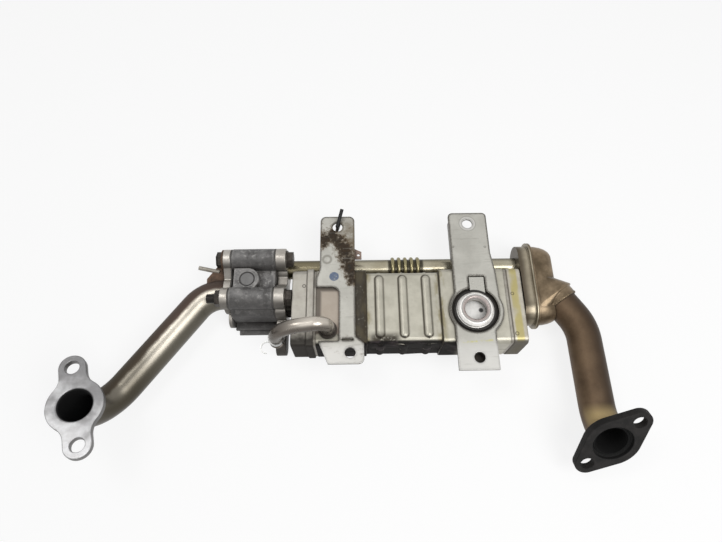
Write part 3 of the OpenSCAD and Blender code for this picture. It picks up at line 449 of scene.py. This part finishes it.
strip_from, strip_to, seam_x = 0.0870, 0.0935, 0.0848
strip_yellow, dint_brown = (0.41, 0.35, 0.125), (0.06, 0.05, 0.035)
tank_shade_grey = (0.115, 0.106, 0.090)
hot_tank = Satin("hot_tank_steel", (0.50, 0.47, 0.40), (0.38, 0.35, 0.29), edge=0.5)
patchy = hot_tank.noise(0.016, 3.0, 0.5, (1, 0.5, 1))
strip = hot_tank.x.band(strip_from, strip_to, 0.0010) * patchy.rise(0.30, 0.50)
hot_tank.stain(0.8 * strip, strip_yellow)
seam = abs(hot_tank.x - seam_x).fall(0.0003, 0.0012)
dints = pit(hot_tank, (0.0879, 0.0093), 0.0016).most(pit(hot_tank, (0.0875, -0.0268), 0.0018))
hot_tank.stain((0.75 * dints).most(0.6 * seam), dint_brown)
# Painted shade: the front side is painted darker and duller.
front = hot_tank.toward(forward).rise(0.35, 0.8)
hot_tank.stain(0.9 * front, tank_shade_grey)
hot_tank.paint(0.45 * front, 0.6 - 0.5 * front)
ease(hot_tank, pressed_edge, "inlet_tank")

dint_black, cold_shade_black = (0.04, 0.035, 0.03), (0.016, 0.013, 0.011)
cold_tank = Satin("cold_tank_steel", (0.405, 0.385, 0.34), (0.31, 0.29, 0.255), edge=0.5)
cold_tank.stain(pit(cold_tank, (-0.0930, 0.0188), 0.0017) * 0.8, dint_black)
# Painted shade, near black, on the front side, along the top's front edge and towards the left
# end.
edge_wobble = cold_tank.noise(0.006, 4.0, 0.6, seed=2.0)
near_front = (cold_tank.y + 0.012 * (edge_wobble - 0.5)).fall(-0.031, -0.023)
cold_front_shade = cold_tank.toward(forward).rise(0.4, 0.8).most(0.9 * near_front)
cold_front_shade = cold_front_shade.most(cold_tank.x.fall(-0.1065, -0.1025) * 0.6)
cold_tank.stain(0.95 * cold_front_shade, cold_shade_black)
cold_tank.paint(0.5 * cold_front_shade, 0.6 - 0.6 * cold_front_shade)
ease(cold_tank, pressed_edge, "outlet_tank")


# Inlet end: an oval pan and a deep drawn cap, welded along their rims, and the hot gas pipe
# in the cap's collar. All of it is stainless that has turned brown in the heat, black with
# soot inside.
def bead(name, centre, axis, radius, size, finish, slot):
    """Rippled weld round a pipe."""
    sides, steps = 10, 180
    ripples, ripple, swells, swell = 45, 0.14, 5, 0.12
    ring = bmesh.new()
    upright = Matrix.Translation((radius, 0, 0)) @ Matrix.Rotation(math.pi / 2, 4, "X")
    bmesh.ops.create_circle(ring, segments=sides, radius=size, matrix=upright)
    bmesh.ops.spin(
        ring, geom=ring.verts[:] + ring.edges[:], cent=(0, 0, 0), axis=up, angle=math.tau,
        steps=steps, use_merge=True,
    )
    bmesh.ops.remove_doubles(ring, verts=ring.verts, dist=0.00001)
    for spot in ring.verts:
        turn = math.atan2(spot.co.y, spot.co.x)
        middle = radius * Vector((math.cos(turn), math.sin(turn), 0))
        grown = 1 + ripple * math.sin(ripples * turn) + swell * math.sin(swells * turn)
        spot.co = middle + (spot.co - middle) * grown
    bmesh.ops.recalc_face_normals(ring, faces=ring.faces)
    lean = Vector(axis).to_track_quat("Z", "Y").to_matrix().to_4x4()
    bmesh.ops.transform(ring, matrix=Matrix.Translation(centre) @ lean, verts=ring.verts)
    piece(name, ring, finish, slot)


drawn_edge, pan_shade_dark = 0.0004, (0.060, 0.046, 0.031)
pan = Satin(
    "pan_brown", (0.37, 0.325, 0.245), (0.225, 0.195, 0.142), 0.33, 0.7, 0.02, corner_shade=0.5
)
# Painted shade on the pan's left part, next to the tank.
pan.stain(0.85 * pan.x.fall(0.1010, 0.1075), pan_shade_dark)
pan.paint()
ease(pan, drawn_edge, "inlet_pan")

cap = Satin("cap_brown", (0.260, 0.195, 0.125), (0.098, 0.071, 0.043), 0.33, 0.65, 0.016)
cap.paint()
ease(cap, drawn_edge, "inlet_cap")
collar_end, collar_axis = (0.1357, 0.0077, 0.0230), (0.5446, -0.8387, 0)
hot_weld_r, collar_weld_size = 0.0149, 0.0011
bead("collar_weld", collar_end, collar_axis, hot_weld_r, collar_weld_size, cap, slots["inlet_cap"])

exhaust_mouth = Vector(mounts["exhaust_bore"]["pos_m"])
exhaust_out = Vector(mounts["exhaust_bore"]["axis"]).normalized()
exhaust_inner, exhaust_bend, exhaust_straight, sooted_reach = 0.0136, 0.035, 0.0125, 0.030
bend_at = exhaust_mouth - exhaust_straight * exhaust_out
bend_at = bend_at + exhaust_bend * Vector((0, 0.656059, 0.75471))
flange_middle = exhaust_mouth - 0.0044 * exhaust_out
shaded_brown, highlight_gold, soot_black = (0.036, 0.024, 0.016), (0.80, 0.61, 0.30), (0.006, 0.006, 0.006)
hot_pipe = Satin("pipe_brown", (0.138, 0.092, 0.055), (0.078, 0.050, 0.029), 0.48, 0.45, 0.03)
# Painted shade on the right flank, and a painted highlight in gold on the upper faces near the
# flange.
hot_pipe.stain(0.8 * hot_pipe.toward((0.93, 0.36, 0)).rise(-0.55, 0.55), shaded_brown)
end_highlight = hot_pipe.y.fall(-0.101, -0.083) * hot_pipe.toward((-0.2, -0.3, 1)).rise(0.2, 0.8)
hot_pipe.stain(0.9 * end_highlight, highlight_gold)
soot = hot_pipe.sooted(
    exhaust_mouth, exhaust_out, bend_at, (1, 0, 0), exhaust_bend, exhaust_inner, sooted_reach
)
soot = soot.most(hot_pipe.past(flange_middle, exhaust_out).rise(-0.0002, 0.0002))
hot_pipe.stain(soot, soot_black)
hot_pipe.paint(0.5 * soot, 0.45 - 0.45 * soot)
dress(hot_pipe, "exhaust_pipe")


# Exhaust flange: a thick flame-cut steel plate with two bolt holes, black with soot. The
# hot gas pipe is set into it and welded round its back.
cut_edge, bore_edge, weld_depth, flange_weld_size = 0.0007, 0.0162, 0.0051, 0.0012
black = Satin("soot_black", (0.026, 0.024, 0.023), (0.011, 0.0105, 0.010), 0.72, 0.15, 0.008)
bore = black.off_line(exhaust_mouth, exhaust_out).fall(bore_edge - 0.0001, bore_edge + 0.0001)
black.stain(0.9 * bore, soot_black)
black.paint()
ease(black, cut_edge, "exhaust_flange")
weld_at = exhaust_mouth - weld_depth * exhaust_out
bead(
    "exhaust_weld", weld_at, exhaust_out, hot_weld_r, flange_weld_size, hot_pipe,
    slots["exhaust_pipe"],
)


# Bypass pipe: thin straight stainless tube behind the jacket, with bellows rolled into it
# that take up the heat, straw coloured by it. It is set into inlet pan and cooler flange.
bypass_middle, crest_low, crest_high = (0.0, 0.0455, 0.0165), 0.0085, 0.0103
end_olive, flank_shade_olive = (0.15, 0.125, 0.065), (0.060, 0.052, 0.028)
groove_shade_black, crest_straw = (0.018, 0.014, 0.008), (0.27, 0.235, 0.125)
straw = Satin(
    "straw_steel", (0.44, 0.41, 0.32), (0.335, 0.30, 0.215), 0.25, 0.75, 0.02, bump=0.05
)
straw.stain(0.7 * straw.x.fall(-0.082, -0.070), end_olive)
# Painted shade on the far and near flanks, and in the grooves of the bellows.
bypass_far_shade = straw.toward((0, 1, 0.3)).rise(0.45, 0.95)
bypass_near_shade = straw.toward((0, -1, 0.1)).rise(0.55, 0.95)
straw.stain(0.8 * bypass_far_shade.most(bypass_near_shade), flank_shade_olive)
crest = straw.off_line(bypass_middle, (1, 0, 0)).rise(crest_low, crest_high)
bellows = straw.x.band(-0.018, 0.0145, 0.001)
straw.stain(0.9 * bellows, straw.mix(crest, groove_shade_black, crest_straw))
straw.paint()
dress(straw, "bypass_pipe")


# Valve end: the sand-cast housing of the bypass flap with its pressed-in shaft plug, between
# the machined flanges of cooler and pipe and their gaskets.
cast_pale, cast_dark, cast_scuffed = (0.31, 0.30, 0.29), (0.062, 0.058, 0.055), (0.39, 0.38, 0.365)
low_shade_grey, groove_grey = (0.055, 0.052, 0.050), (0.028, 0.026, 0.025)
cast_edge, machined_edge, sand_size = 0.0008, 0.0006, 0.0012
plug_low, plug_high = (Vector(corner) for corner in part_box("shaft_plug"))
plug_at, plug_r = ((plug_low + plug_high) / 2).xy, (plug_high.x - plug_low.x) / 2
cast = Satin(
    "cast_grey", (0.190, 0.186, 0.182), (0.105, 0.102, 0.100), 0.5, 0.25, 0.016,
    edge=0.5, edge_tone=(0.35, 0.34, 0.325), edge_reach=0.0025,
)
scuff = cast.noise(0.0050, 5.0, 0.65, seed=9.0)
blotches = cast.noise(0.011, 5.0, 0.7, (1, 1, 0.6), seed=14.0)
cast.stain(blotches.rise(0.50, 0.60) * 0.45, cast_pale)
cast.stain(blotches.fall(0.38, 0.46) * 0.6, cast_dark)
cast.stain(scuff.rise(0.53, 0.66) * 0.6, cast_scuffed)
# Painted shade on the low parts and on faces turned to the front.
low_side_shade = cast.z.fall(0.014, 0.030).most(cast.toward((0, -1, 0.15)).rise(0.05, 0.8))
cast.stain(0.7 * low_side_shade, low_shade_grey)
groove = cast.gap(plug_at).band(plug_r, plug_r + 0.0008, 0.0002)
cast.stain(0.85 * groove * cast.toward(up).rise(0.5, 0.8), groove_grey)
cast.paint()
cast.grain(cast.noise(sand_size, 3.0, 0.6, seed=2.0) + 0.5 * scuff, 0.35, 0.0005)
ease(cast, cast_edge, "valve_housing")

plug = Satin("plug_grey", (0.200, 0.196, 0.192), (0.150, 0.147, 0.144), 0.5, 0.25, 0.008)
plug.stain(0.8 * plug.gap(plug_at).band(plug_r - 0.0006, plug_r + 0.0006, 0.0002), groove_grey)
plug.paint()
dress(plug, "shaft_plug")

flange_shade_black = (0.030, 0.026, 0.023)
turned = Satin("flange_steel", (0.47, 0.445, 0.405), (0.35, 0.325, 0.29), 0.36, 0.65, 0.010)
# Painted shade on the front ears and on faces turned to the front.
flange_front_shade = turned.y.fall(-0.014, -0.006).most(turned.toward(forward).rise(0.3, 0.8) * 0.7)
turned.stain(0.92 * flange_front_shade, flange_shade_black)
turned.paint(0.2 * flange_front_shade)
ease(turned, machined_edge, "cooler_flange", "pipe_flange")

sheet = Satin("gasket_grey", (0.12, 0.115, 0.11), (0.07, 0.066, 0.062), 0.6, 0.2)
sheet.paint()
dress(sheet, "cooler_gasket", "pipe_gasket")


# Flap, shaft and lever of the bypass valve: plain steel, fixed together, turning in two
# bronze bushes pressed into the housing. The stay's pin is of the same steel.
dress(core, "valve_shaft", "valve_flap", "drive_lever", "stay_pin")
bronze = Satin("bush_bronze", (0.48, 0.34, 0.15), (0.34, 0.23, 0.09), 0.35, 0.9)
bronze.paint()
dress(bronze, "upper_bush", "lower_bush")


# Fasteners: two long hexagon bolts through the whole stack and their nuts, oxidised dark
# brown. The collar at the coolant pipe's foot is just as dark.
bolt_edge, thread_black = 0.0003, (0.012, 0.011, 0.010)
dark = Satin("bolt_dark", (0.075, 0.065, 0.056), (0.032, 0.028, 0.024), 0.45, 0.55, 0.004)
dark.stain(0.8 * dark.x.fall(-0.1705, -0.1700), thread_black)
dark.paint()
ease(dark, bolt_edge, "housing_bolts", "housing_nuts")
dress(dark, "coolant_collar")


# Outlet pipe: bent stainless tube, bright along its top, with painted shade in brown on its
# far flank and in dull olive under it and at its bend, black with soot inside.
outlet_mouth = Vector(mounts["outlet_bore"]["pos_m"])
outlet_out = Vector(mounts["outlet_bore"]["axis"]).normalized()
outlet_inner, outlet_bend, outlet_straight, sooted_reach = 0.0129, 0.032, 0.00325, 0.042
outlet_bend_at = outlet_mouth - outlet_straight * outlet_out
outlet_bend_at = outlet_bend_at + outlet_bend * Vector((0.5825, 0.7901, -0.1908))
outlet_bend_axis = (-0.8049, 0.5934, 0)
flank_shade_brown, bore_black = (0.058, 0.035, 0.027), (0.005, 0.005, 0.005)
under_shade_olive, bend_shade_olive = (0.072, 0.065, 0.048), (0.050, 0.042, 0.028)
pipe = Satin("outlet_steel", (0.50, 0.465, 0.40), (0.40, 0.37, 0.315), 0.34, 0.7, 0.02)
# Painted shade in brown on the far flank, in olive under the pipe and at its bend.
across = pipe.toward((-0.59, 0.77, 0.25))
streaks = pipe.noise(0.006, 4.0, 0.6, (0.25, 0.25, 1), seed=5.0)
pipe_flank_shade = (across + 0.45 * streaks).rise(0.36, 0.62)
pipe.stain(0.94 * pipe_flank_shade, flank_shade_brown)
pipe.stain(0.88 * across.fall(-0.65, -0.02), under_shade_olive)
pipe.stain(0.75 * pipe.x.fall(-0.235, -0.205), bend_shade_olive)
soot = pipe.sooted(
    outlet_mouth, outlet_out, outlet_bend_at, outlet_bend_axis, outlet_bend, outlet_inner,
    sooted_reach,
)
pipe.stain(soot, bore_black)
pipe.paint(0.5 * soot.most(0.4 * pipe_flank_shade), 0.7 - 0.7 * soot)
dress(pipe, "outlet_pipe")


# Outlet flange: a light plate with two ears, machined bright on its face and dulled in
# patches. The outlet pipe is set into it and welded round its back.
worn_grey, edge_grey, rim_black = (0.120, 0.117, 0.117), (0.12, 0.115, 0.11), (0.008, 0.008, 0.008)
ear_edge, weld_depth, outlet_weld_r = 0.0008, 0.0015, 0.0139
bright = Satin("bright_flange", (0.49, 0.49, 0.495), (0.37, 0.365, 0.365), 0.40, 0.55, 0.006)
dull = bright.noise(0.020, 3.0, 0.5, seed=4.0)
worn = (dull + 7.0 * (bright.y - outlet_mouth.y)).rise(0.36, 0.64)
bright.stain(0.75 * worn, worn_grey)
bright.stain(0.8 * bright.toward(outlet_out).fall(0.3, 0.8), edge_grey)
rim = bright.off_line(outlet_mouth, outlet_out).fall(0.0128, 0.0135)
bright.stain(0.97 * rim, rim_black)
bright.paint(0.3 * rim, 0.6 - 0.6 * rim)
ease(bright, ear_edge, "outlet_flange")
weld_at = outlet_mouth - weld_depth * outlet_out
bead(
    "outlet_weld", weld_at, outlet_out, outlet_weld_r, flange_weld_size, pipe,
    slots["outlet_pipe"],
)


# Stay and harness lug: small pieces of bent sheet steel. The stay, held by the far bolt and
# its pin, has rusted brown, and the lug on the cold bracket is stained pink.
rust = Satin("rust_brown", (0.15, 0.095, 0.065), (0.06, 0.040, 0.028), 0.6, 0.3, 0.005)
rust.paint()
dress(rust, "pipe_stay")
lug = Satin("lug_pink", (0.30, 0.225, 0.19), (0.19, 0.14, 0.115), 0.5, 0.4, 0.004)
lug.paint()
dress(lug, "harness_tab")


# Coolant inlet: bent steel pipe brazed into the jacket, with painted shade underneath, on its
# front flank and towards its end, and a bright spring wire hose clip slid back on it.
under_shade_brown = (0.055, 0.045, 0.038)
spigot = Satin(
    "coolant_pipe_steel", (0.58, 0.535, 0.47), (0.47, 0.425, 0.37), 0.27, 0.7, 0.02, bump=0.05
)
# Painted shade under the pipe, on its front flank and towards its end.
under = spigot.z.fall(0.030, 0.052).most(spigot.x.fall(-0.114, -0.082))
under = under.most(spigot.toward((0, -1, -0.1)).rise(0.0, 0.75))
spigot.stain(0.85 * under, under_shade_brown)
spigot.paint()
dress(spigot, "coolant_inlet_pipe")
spring = Satin("spring_bright", (0.42, 0.42, 0.41), (0.28, 0.28, 0.27), 0.3, 0.9)
spring.paint()
dress(spring, "hose_clip")


# Coolant outlet port: turned steel ring brazed on the jacket, bright on its sealing face,
# with painted shade lines at its bore and lip and painted shadow round its foot, and a pale
# dished baffle in its bore.
port_edge, tongue_grey = 0.0004, (0.50, 0.49, 0.445)
lip_brown, shade_line_black = (0.20, 0.13, 0.115), (0.040, 0.034, 0.030)
port = Satin(
    "port_steel", (0.95, 0.93, 0.90), (0.84, 0.82, 0.78), 0.28, 0.45, 0.006, corner_shade=0.35
)
port_gap = port.gap(port_centre)
port.stain(0.7 * port_gap.band(0.0093, 0.0118, 0.0005), lip_brown)
# Painted shade lines at the bore's edge and round the lip.
ring_shade_lines = port_gap.band(0.0085, 0.0093, 0.0003).most(port_gap.band(0.0119, 0.0126, 0.0003))
port.stain(0.75 * ring_shade_lines, shade_line_black)
port.stain(port_gap.rise(0.0182, 0.0186), tongue_grey)
# Painted shadow round the foot, in the gap to the bracket.
port.stain(0.97 * port_gap.band(0.0160, 0.0184, 0.0003), gap_shadow_black)
port.paint()
ease(port, port_edge, "coolant_outlet_port")

baffle_r, baffle_rim, baffle_dish, baffle_t, baffle_z = 0.0108, 0.0035, 0.0012, 0.0008, 0.0398
blotch_at, blotch_black = (port_centre[0] + 0.0060, port_centre[1] + 0.0015), (0.010, 0.009, 0.008)
dish = bmesh.new()
bmesh.ops.create_circle(
    dish, cap_ends=True, segments=48, radius=baffle_r,
    matrix=Matrix.Translation((*port_centre, baffle_z)),
)
bmesh.ops.inset_region(dish, faces=dish.faces[:], thickness=baffle_rim, depth=-baffle_dish)
bmesh.ops.solidify(dish, geom=dish.faces[:], thickness=baffle_t)
bmesh.ops.recalc_face_normals(dish, faces=dish.faces)
baffle = Satin(
    "baffle_pale", (0.80, 0.79, 0.765), (0.66, 0.65, 0.625), 0.45, 0.2, 0.006, corner_shade=0.0
)
baffle.stain(0.95 * baffle.gap(blotch_at).fall(0.0014, 0.0026), blotch_black)
baffle.paint()
piece("port_baffle", dish, baffle, slots["coolant_outlet_port"])


# Brackets: pressed satin sheet, spot welded on the jacket bands. Oil has run over the cold
# one from its arm down to the panel, and a blue inspection dot is painted on it. A nut is
# caught under the hot one's foot.
pale_grey, side_shade_brown, scratch_grey = (0.60, 0.59, 0.565), (0.08, 0.07, 0.055), (0.26, 0.25, 0.22)
veil_brown, thin_brown = (0.125, 0.090, 0.045), (0.115, 0.075, 0.036)
thick_black, thick_brown = (0.008, 0.006, 0.004), (0.034, 0.020, 0.009)
seat_grey, nick_brown, weld_brown = (0.62, 0.61, 0.585), (0.07, 0.06, 0.05), (0.10, 0.09, 0.07)
dot_blue, chalk_yellow = (0.070, 0.115, 0.215), (0.50, 0.47, 0.14)
weld_spot, dot_at, veil_at = (-0.0731, 0.0430), (-0.0668, 0.0265), (-0.054, 0.064)
chalk_mid_x, chalk_y, chalk_slope, sheared_edge = 0.0535, -0.0338, 0.06, 0.0005
oil_spots = (
    (-0.0690, 0.0680, 0.0050), (-0.0640, 0.0625, 0.0055), (-0.0600, 0.0565, 0.0060),
    (-0.0565, 0.0500, 0.0065), (-0.0540, 0.0435, 0.0065), (-0.0525, 0.0360, 0.0060),
    (-0.0515, 0.0285, 0.0050), (-0.0510, 0.0220, 0.0035), (-0.0750, 0.0650, 0.0056),
    (-0.0765, 0.0600, 0.0048),
)
arm = Satin(
    "bracket_steel", (0.50, 0.49, 0.445), (0.42, 0.41, 0.37), 0.4, 0.45, 0.02, corner_shade=0.65,
    edge=0.9, edge_reach=0.0023,
)
flat = arm.toward(up).rise(0.35, 0.75)
arm.stain(0.7 * arm.y.fall(-0.042, -0.030), pale_grey)
# Painted shade on faces that are not flat on top: the sheet's sides and bends.
arm.stain(0.75 * (1 - flat), side_shade_brown)

blot = arm.noise(0.010, 4.0, 0.65, seed=4.0)
drop = arm.noise(0.0026, 5.0, 0.7, seed=6.0)
veil = arm.gap(veil_at).fall(0.006, 0.027) * arm.x.rise(-0.072, -0.060)
veil = veil * arm.x.fall(-0.042, -0.040)
arm.stain(0.65 * veil * blot.rise(0.30, 0.58), veil_brown)
pools = [arm.gap((x, y)).fall(0.001, 2.5 * spread) for x, y, spread in oil_spots]
pool = pools[0]
for other in pools[1:]:
    pool = pool.most(other)
wet = arm.x.fall(-0.0420, -0.0400) * arm.toward(up).rise(-0.5, 0.2)
depth = (pool + 2.2 * (drop - 0.5) + 1.2 * (blot - 0.5)) * wet
thin_oil = depth.rise(0.15, 0.75)
arm.stain(0.8 * thin_oil, thin_brown)
thick_oil = arm.mix(drop.rise(0.40, 0.62), thick_black, thick_brown)
arm.stain(0.97 * depth.rise(0.50, 0.95), thick_oil)

hot_hole = arm.gap(mounts["hot_arm"]["pos_m"][:2])
arm.stain(0.6 * hot_hole.band(0.0044, 0.0072, 0.0004), seat_grey)
seat_line = hot_hole.band(0.0072, 0.0078, 0.0002)
nicks = pit(arm, (0.0396, 0.0540), 0.0011).most(pit(arm, (0.0683, 0.0536), 0.0011))
arm.stain((0.35 * seat_line).most(0.7 * nicks), nick_brown)
scratch = arm.noise(0.003, 3.0, 0.6, (0.12, 1.6, 1), seed=11.0).rise(0.60, 0.70)
arm.stain(0.35 * scratch * flat, scratch_grey)
arm.stain(0.5 * pit(arm, weld_spot, 0.0046), weld_brown)
dot = arm.gap(dot_at).fall(0.0040, 0.0044) * flat
arm.stain(0.85 * dot * drop.rise(0.30, 0.52), dot_blue)
chalk = abs(arm.y - chalk_y - chalk_slope * (arm.x - chalk_mid_x)).fall(0.0004, 0.0013)
chalk = chalk * arm.x.band(0.041, 0.066, 0.001)
arm.stain(0.6 * chalk * drop.rise(0.42, 0.6) * flat, chalk_yellow)
arm.paint(metal=0.5 - 0.5 * thin_oil.most(dot))
ease(arm, sheared_edge, "cold_bracket", "hot_bracket")

foot_x, foot_y, foot_z = mounts["hot_foot"]["pos_m"]
foot_t, nut_r, nut_h, nut_bore, nut_floor = 0.00125, 0.0080, 0.0075, 0.0046, 0.0012


def new_verts(made):
    return [v for v in made["geom"] if isinstance(v, bmesh.types.BMVert)]


nut = bmesh.new()
bmesh.ops.create_circle(
    nut, cap_ends=True, segments=48, radius=nut_bore,
    matrix=Matrix.Translation((foot_x, foot_y, foot_z - foot_t)),
)
mouth = nut.faces[:]
brim = bmesh.ops.extrude_edge_only(nut, edges=nut.edges[:])
bmesh.ops.scale(
    nut, vec=(nut_r / nut_bore, nut_r / nut_bore, 1), verts=new_verts(brim),
    space=Matrix.Translation((-foot_x, -foot_y, 0)),
)
wall = bmesh.ops.extrude_edge_only(nut, edges=[e for e in nut.edges if e.is_boundary])
bmesh.ops.translate(nut, vec=(0, 0, -nut_h), verts=new_verts(wall))
bmesh.ops.contextual_create(nut, geom=[e for e in nut.edges if e.is_boundary])
hole = bmesh.ops.extrude_discrete_faces(nut, faces=mouth)["faces"]
bmesh.ops.translate(nut, vec=(0, 0, nut_floor - nut_h), verts=hole[0].verts[:])
bmesh.ops.recalc_face_normals(nut, faces=nut.faces)
piece("hot_foot_nut", nut, dark, slots["housing_nuts"])


# Harness clip: the left-over stem of a moulded black plastic clip, still pushed into the
# arm hole of the cold bracket.
plastic = Satin("clip_black", (0.015, 0.015, 0.015), (0.008, 0.008, 0.008), 0.5, 0.0)
plastic.paint()
dress(plastic, "tie_clip")
